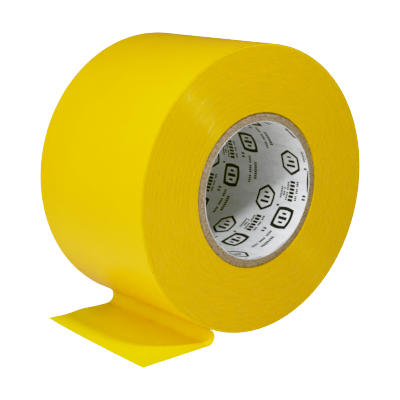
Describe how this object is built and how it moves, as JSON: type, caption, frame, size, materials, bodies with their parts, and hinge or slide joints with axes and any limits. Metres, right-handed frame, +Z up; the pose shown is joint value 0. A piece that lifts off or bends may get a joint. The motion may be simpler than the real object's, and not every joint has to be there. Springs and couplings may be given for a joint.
{
  "type": "electrical tape roll",
  "caption": "Wide roll of vinyl electrical tape on a chipboard core with a paper liner, standing on its rim, its free end folded back and lying flat on the table",
  "frame": {"origin": "centre of the core's bore, half way along the tape's width", "axes": "+Z up, Y along the bore with the front end face looking along -Y, the free end of the tape towards -X"},
  "size_m": [0.0817, 0.0484, 0.0806],
  "materials": {
    "vinyl_film": "smooth soft-gloss yellow vinyl, slightly waxy",
    "wound_vinyl": "slit edges of the wound turns, satin with fine rings",
    "adhesive_coat": "clear rubber adhesive over the yellow film, wet-looking",
    "chipboard": "dull speckled grey-brown chipboard with its ply edges showing",
    "liner_paper": "smooth white paper with a repeating black print of plain shapes"
  },
  "bodies": {
    "wound_roll": {"core_liner": "liner_paper", "core_ply_1": "chipboard", "core_ply_2": "chipboard", "core_ply_3": "chipboard", "core_ply_4": "chipboard", "wound_turns": "wound_vinyl"},
    "outer_turn": {"outer_turn_film": "vinyl_film", "outer_turn_adhesive": "adhesive_coat", "upper_fold_film": "vinyl_film", "upper_fold_adhesive": "adhesive_coat"},
    "tail_root": {"lower_fold_film": "vinyl_film", "lower_fold_adhesive": "adhesive_coat", "tail_strip_1_film": "vinyl_film", "tail_strip_1_adhesive": "adhesive_coat"},
    "tail_middle": {"tail_strip_2_film": "vinyl_film", "tail_strip_2_adhesive": "adhesive_coat"},
    "tail_end": {"tail_strip_3_film": "vinyl_film", "tail_strip_3_adhesive": "adhesive_coat"}
  },
  "joints": [
    {"name": "peel_line_travel", "type": "hinge", "parent": "wound_roll", "child": "outer_turn", "pos_m": [0, 0, 0], "axis": [0, 1, 0], "continuous": true},
    {"name": "tail_lift", "type": "hinge", "parent": "outer_turn", "child": "tail_root", "pos_m": [-0.01705, 0, -0.03843], "axis": [0, 1, 0], "range_deg": [0, 30]},
    {"name": "tail_bend", "type": "hinge", "parent": "tail_root", "child": "tail_middle", "pos_m": [-0.02627, 0, -0.04021], "axis": [0, 1, 0], "range_deg": [0, 15]},
    {"name": "tip_bend", "type": "hinge", "parent": "tail_middle", "child": "tail_end", "pos_m": [-0.03324, 0, -0.04021], "axis": [0, 1, 0], "range_deg": [0, 15]}
  ]
}
